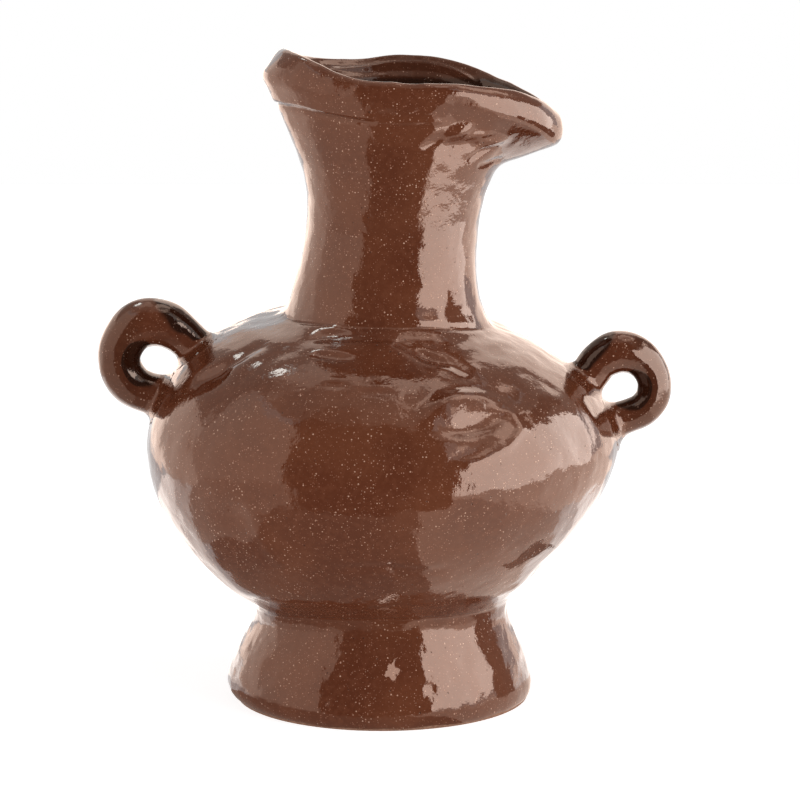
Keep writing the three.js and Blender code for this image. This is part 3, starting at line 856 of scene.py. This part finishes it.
def slab_edge_glaze():
    """the band of glaze on the slab's edge, which ends unevenly a little above the ground"""
    drip = DRIP_HEIGHT + DRIP_WAVE*LUMPS(sheet[0], DRIP_SPACING)
    last = len(EDGE_ROWS) - 1
    j = np.arange(STATIONS)
    outer, inner = [], []
    for k in range(BAND_STEPS + 1):
        at = np.clip(mix(drip, SLAB_EDGE, k/BAND_STEPS) / SLAB_EDGE * last, 0, last - 0.001)
        low = np.floor(at).astype(int)
        point = mix(sheet[low, j], sheet[low + 1, j], (at - low)[:, None])
        under = point - (GLAZE_COAT - COAT_GAP)*plain_normals[0]*FLAT
        outer.append(point if k else mix(under, point, DRIP_ROUNDING))
        inner.append(under)
    return closed_round("base_slab_glazed_edge", outer + inner[::-1], glaze)


def slab_floor_glaze():
    """the glaze on the floor inside, drawn up a little where it meets the wall"""
    rows = [circle_row(radius, SLAB_THICKNESS + height) for radius, height in FLOOR_GLAZE_PROFILE]
    return closed_round("base_slab_floor_glaze", rows, glaze, poles=True)


def keep(thing, cad_node):
    """sets what a finished piece rides on, and hides the solid it stands in for"""
    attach(thing, "root")
    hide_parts(cad_node)


for name, bottom, top in (("foot_ring", AT_SLAB_EDGE, AT_WAIST), ("lower_body", AT_WAIST, AT_EQUATOR),
                          ("shoulder", AT_EQUATOR, AT_NECK_BASE), ("neck", AT_NECK_BASE, AT_LIP_SEAM),
                          ("folded_lip", AT_LIP_SEAM, None)):
    keep(section(name + "_glazed", bottom, top, glaze), name)

keep(slab_clay(), "base_slab")
keep(slab_edge_glaze(), "base_slab")
keep(slab_floor_glaze(), "base_slab")

nearest = belly_skin()
for name, coil in (("handle_left", LEFT_COIL), ("handle_right", RIGHT_COIL)):
    keep(handle(name + "_glazed", coil, glaze, nearest), name)


# The studio is made up of cards. They glow in the glaze's reflections only, and are placed round a
# middle at half the vase's height, or close to it where its mirror images have to lie on a certain place.
CARDS_MIDDLE = 0.13
NEAR_CARDS_RADIUS = 0.38
ON_FLOOR = 0.0004
WARM = (1, 0.81, 0.7)
PALE_WARM = (1, 0.88, 0.81)
PALEST_WARM = (1, 0.92, 0.87)
COOL = (0.9, 1, 1)
WHITE = (1, 1, 1)


def studio_mesh(name, points, faces, material):
    mesh = bpy.data.meshes.new(name)
    mesh.from_pydata([tuple(p) for p in points], [], faces)
    mesh.materials.append(material)
    thing = bpy.data.objects.new(name, mesh)
    bpy.context.scene.collection.objects.link(thing)
    return thing


def studio_piece(name, points, strength, colour=WARM, faces=None, low=None, flag=False):
    """a glowing card that only the glaze's reflections see, patchy between two strengths where low is
    given, or a flag, which only diffuse light sees, in place of the world behind it"""
    material, tree = new_material(name)
    if low is not None:
        where = node(tree, "ShaderNodeTexCoord").outputs["Object"]
        strength = ramp(tree, noise_texture(tree, where, 1.5, 1.0), 0.44, 0.54, low, strength)
    shader = node(tree, "ShaderNodeEmission", {"Color": (*colour, 1), "Strength": strength})
    node(tree, "ShaderNodeOutputMaterial", {"Surface": shader.outputs[0]})
    thing = studio_mesh(name, points, faces or [tuple(range(len(points)))], material)
    thing.visible_camera = False
    thing.visible_glossy = not flag
    thing.visible_diffuse = flag
    thing.visible_shadow = False


def sky(azimuth, elevation, distance):
    """a place in the studio by its azimuth, 0 in front and positive to the right, and its elevation"""
    az, el = math.radians(azimuth), math.radians(elevation)
    return (distance*math.sin(az)*math.cos(el), -distance*math.cos(az)*math.cos(el),
            CARDS_MIDDLE + distance*math.sin(el))


def beside(azimuth, height):
    """a place close to the vase by its azimuth and its height in metres"""
    az = math.radians(azimuth)
    return NEAR_CARDS_RADIUS*math.sin(az), -NEAR_CARDS_RADIUS*math.cos(az), height


def curved_sheet(corners, place_at, across, up):
    """points and faces of a curved sheet between four corners, from the bottom left anticlockwise"""
    a, b, c, d = (np.array(corner, float) for corner in corners)
    points = [place_at(*mix(mix(a, b, i/across), mix(d, c, i/across), k/up))
              for i in range(across + 1) for k in range(up + 1)]
    starts = [i*(up + 1) + k for i in range(across) for k in range(up)]
    return points, [(n, n + 1, n + up + 2, n + up + 1) for n in starts]


def card(name, corners, distance, strength, low=None, flag=False, steps=16):
    """a card curved round the vase at a distance, its corners given by azimuth and elevation"""
    points, faces = curved_sheet(corners, lambda az, el: sky(az, el, distance), steps, steps)
    studio_piece(name, points, strength, faces=faces, low=low, flag=flag)


def near_card(name, corners, strength, steps=16):
    """a card curved round the vase close to it, its corners given by azimuth and height"""
    points, faces = curved_sheet(corners, beside, steps, 1)
    studio_piece(name, points, strength, PALE_WARM, faces)


def round_card(name, centre, size, distance, strength, colour, corners=24):
    """a flat oval card, its middle and half its width and height given by azimuth and elevation"""
    rim = [sky(centre[0] + size[0]*math.cos(a), centre[1] + size[1]*math.sin(a), distance)
           for a in np.linspace(0, TAU, corners, endpoint=False)]
    studio_piece(name, rim, strength, colour)


def star_card(name, centre, size, strength, corners=40):
    """a flat card shaped like a soft star of five points, facing the front"""
    turns = [(a, 0.85 + 0.18*math.cos(5*a + 0.5)) for a in np.linspace(0, TAU, corners, endpoint=False)]
    x, y, z = centre
    rim = [(x + size[0]*r*math.cos(a), y, z + size[1]*r*math.sin(a)) for a, r in turns]
    studio_piece(name, rim, strength)


def level(left, right, front, back, height):
    """the corners of a level rectangle"""
    return [(left, front, height), (right, front, height), (right, back, height), (left, back, height)]


def upright(x, front, back, low, high):
    """the corners of an upright rectangle that faces sideways"""
    return [(x, front, low), (x, back, low), (x, back, high), (x, front, high)]


card("left_softbox", [(-100, -50), (-38, -50), (-40, 46), (-105, 52)], 2.0, 1.15)
card("left_wall", [(-150, -50), (-98, -50), (-102, 22), (-150, 24)], 2.05, 1.6)
card("left_back", [(-180, -50), (-133, -50), (-133, 6), (-180, 2)], 2.02, 2.7)
card("back_left_high", [(-180, 18), (-157, 18), (-157, 50), (-180, 50)], 2.04, 1.3)
card("back_right_high", [(157, 16), (180, 16), (180, 50), (157, 50)], 2.04, 2.4)
card("left_high", [(-180, 20), (-98, 20), (-100, 60), (-180, 60)], 2.08, 0.55)
near_card("right_softbox", [(36, 0.012), (88, 0.03), (88, 0.4), (34, 0.29)], 5.5)
near_card("right_wing", [(88, 0.03), (108, 0.055), (119, 0.22), (88, 0.4)], 5.1)
card("right_mid", [(104, -24), (150, -24), (150, -6), (104, -6)], 2.04, 2.5)
card("right_dusk", [(80, 19), (143, 17), (150, 52), (80, 52)], 2.05, 0.5)
card("right_upper", [(50, 32), (112, 32), (118, 62), (60, 66)], 2.03, 3.0, low=0.9)
card("right_low", [(98, -60), (150, -60), (124, -8), (98, -8)], 2.07, 1.3)
card("right_wall", [(120, -60), (180, -60), (180, 46), (146, 56)], 2.1, 2.3)
card("dark_front", [(-40, -60), (38, -60), (42, 60), (-46, 56)], 2.15, 0.08)
card("right_ceiling", [(40, 58), (160, 58), (160, 86), (40, 86)], 2.15, 2.2, low=0.7)
card("left_ceiling", [(-175, 56), (-90, 56), (-90, 88), (-175, 88)], 2.15, 1.3, low=0.7)
card("dim_ceiling", [(-180, 54), (180, 54), (180, 90), (-180, 90)], 2.25, 0.6, low=0.3, steps=24)
card("fill_flag", [(-180, 48), (180, 48), (180, 90), (-180, 90)], 2.4, 0.03, flag=True, steps=24)
round_card("lamp_glow", (-133, 58), (13, 6), 1.95, 1.4, COOL)
round_card("lamp_heart", (-133, 58), (8.5, 3.8), 1.9, 9, COOL)

# Cards on the floor, for the lower half of the belly and the foot
floor_dark = [(x, y, 2*ON_FLOOR) for x, y in ((-0.13, -0.2), (-0.55, -0.78), (0.5, -0.78), (0.12, -0.2))]
studio_piece("floor_dark", floor_dark, 0.1)
for name, left, right, front, back, strength, colour in (
        ("floor_left", -0.9, -0.14, -0.7, 0.03, 0.9, WARM),
        ("floor_front", -0.14, 0.03, -0.7, 0.0, 0.35, WARM),
        ("floor_near", 0.03, 0.19, -0.7, 0.03, 1.3, WARM),
        ("floor_far", 0.19, 0.9, -0.7, 0.3, 2.1, WARM),
        ("floor_behind", -0.33, 0.19, 0.03, 0.08, 1.8, PALEST_WARM),
        ("floor_back", -0.33, 0.19, 0.08, 0.22, 2.6, PALEST_WARM)):
    studio_piece(name, level(left, right, front, back, ON_FLOOR), strength, colour)

# Small cards very near the vase: dark ones for the right handle and the foot, and a star-like glint on
# the foot with a dark card over it
studio_piece("handle_flag", upright(0.125, -0.045, 0.03, 0.168, 0.2), 0.25)
star_card("foot_glint", (0.0028, -0.0601, 0.0269), (0.0042, 0.0059), 4.8)
studio_piece("glint_flag", level(-0.006, 0.012, -0.0615, -0.052, 0.0335), 0.1)
studio_piece("foot_flag", upright(0.08, -0.03, -0.004, 0.004, 0.045), 0.3)

# Light from below for the parts that overhang, from a card under the floor's level
studio_piece("bounce", level(-1.2, 1.2, -1.5, 0.5, -0.003), 0.95, WHITE, flag=True)

# The floor is grey, with a glow that makes it white to the camera and adds less to diffuse light. The
# world is white to the camera and gives a weaker fill light.
FLOOR_SIDE = 0.34
FLOOR_FRONT = -0.18
FLOOR_BACK = 1.2
FLOOR_GREY = (0.62, 0.62, 0.62, 1)
FLOOR_GLOW = 0.78
FLOOR_BOUNCE = 0.4
WORLD_FILL = 0.5


def seen_plainly(tree):
    """1 for what the camera sees, directly or in the glaze, and 0 for diffuse light; and the rays' node"""
    path = node(tree, "ShaderNodeLightPath")
    seen = maths(tree, "MAXIMUM", path.outputs["Is Camera Ray"], path.outputs["Is Glossy Ray"])
    return maths(tree, "MAXIMUM", seen, path.outputs["Is Transmission Ray"]), path


floor_material, tree = new_material("floor")
seen, path = seen_plainly(tree)
plain = node(tree, "ShaderNodeBsdfDiffuse", {"Color": FLOOR_GREY})
bounced = maths(tree, "MULTIPLY", path.outputs["Is Diffuse Ray"], FLOOR_BOUNCE)
glow = maths(tree, "ADD", maths(tree, "MULTIPLY", seen, FLOOR_GLOW), bounced)
lift = node(tree, "ShaderNodeEmission", {"Color": (*WHITE, 1), "Strength": glow})
both = node(tree, "ShaderNodeAddShader", {0: plain.outputs[0], 1: lift.outputs[0]})
node(tree, "ShaderNodeOutputMaterial", {"Surface": both.outputs[0]})
floor = studio_mesh("floor", level(-FLOOR_SIDE, FLOOR_SIDE, FLOOR_FRONT, FLOOR_BACK, 0), [(0, 1, 2, 3)],
                    floor_material)

world = bpy.data.worlds.new("studio")
bpy.context.scene.world = world
world.use_nodes = True
tree = world.node_tree
tree.nodes.clear()
seen, path = seen_plainly(tree)
fill = node(tree, "ShaderNodeBackground", {"Color": (*WHITE, 1), "Strength": WORLD_FILL})
white = node(tree, "ShaderNodeBackground", {"Color": (*WHITE, 1), "Strength": 1.0})
both = node(tree, "ShaderNodeMixShader", {0: seen, 1: fill.outputs[0], 2: white.outputs[0]})
node(tree, "ShaderNodeOutputWorld", {"Surface": both.outputs[0]})


def soft_lamp(name, azimuth, elevation, strength, spread=60):
    """a wide even lamp, seen in no reflection: the cards are what the glaze mirrors"""
    light = bpy.data.lights.new(name, "SUN")
    light.energy = strength
    light.angle = math.radians(spread)
    lamp = bpy.data.objects.new(name, light)
    towards = Vector(sky(azimuth, elevation, 1)) - Vector((0, 0, CARDS_MIDDLE))
    lamp.rotation_euler = towards.to_track_quat("Z", "Y").to_euler()
    lamp.visible_glossy = False
    bpy.context.scene.collection.objects.link(lamp)


soft_lamp("lamp_right", 62, 22, 1.45)
soft_lamp("lamp_left", -58, 20, 0.9)

# The camera: its lens and sensor in millimetres, how far right of the vase's axis it stands in
# millimetres, and in metres how far in front, how high, and the height that it aims at
LENS = 234.0
SENSOR = 36.0
CAMERA_SIDE = 8.1
CAMERA_FRONT = -1.960
CAMERA_HEIGHT = 0.527
AIM_HEIGHT = 0.1164

camera_data = bpy.data.cameras.new("camera")
camera_data.lens = LENS
camera_data.sensor_width = SENSOR
camera = bpy.data.objects.new("camera", camera_data)
camera_x = (CAMERA_SIDE + vase_shift) * MM
camera.location = (camera_x, CAMERA_FRONT, CAMERA_HEIGHT)
aim = Vector((camera_x, 0, AIM_HEIGHT)) - camera.location
camera.rotation_euler = aim.to_track_quat("-Z", "Y").to_euler()
bpy.context.scene.collection.objects.link(camera)
bpy.context.scene.camera = camera
bpy.context.scene.view_settings.view_transform = "Standard"
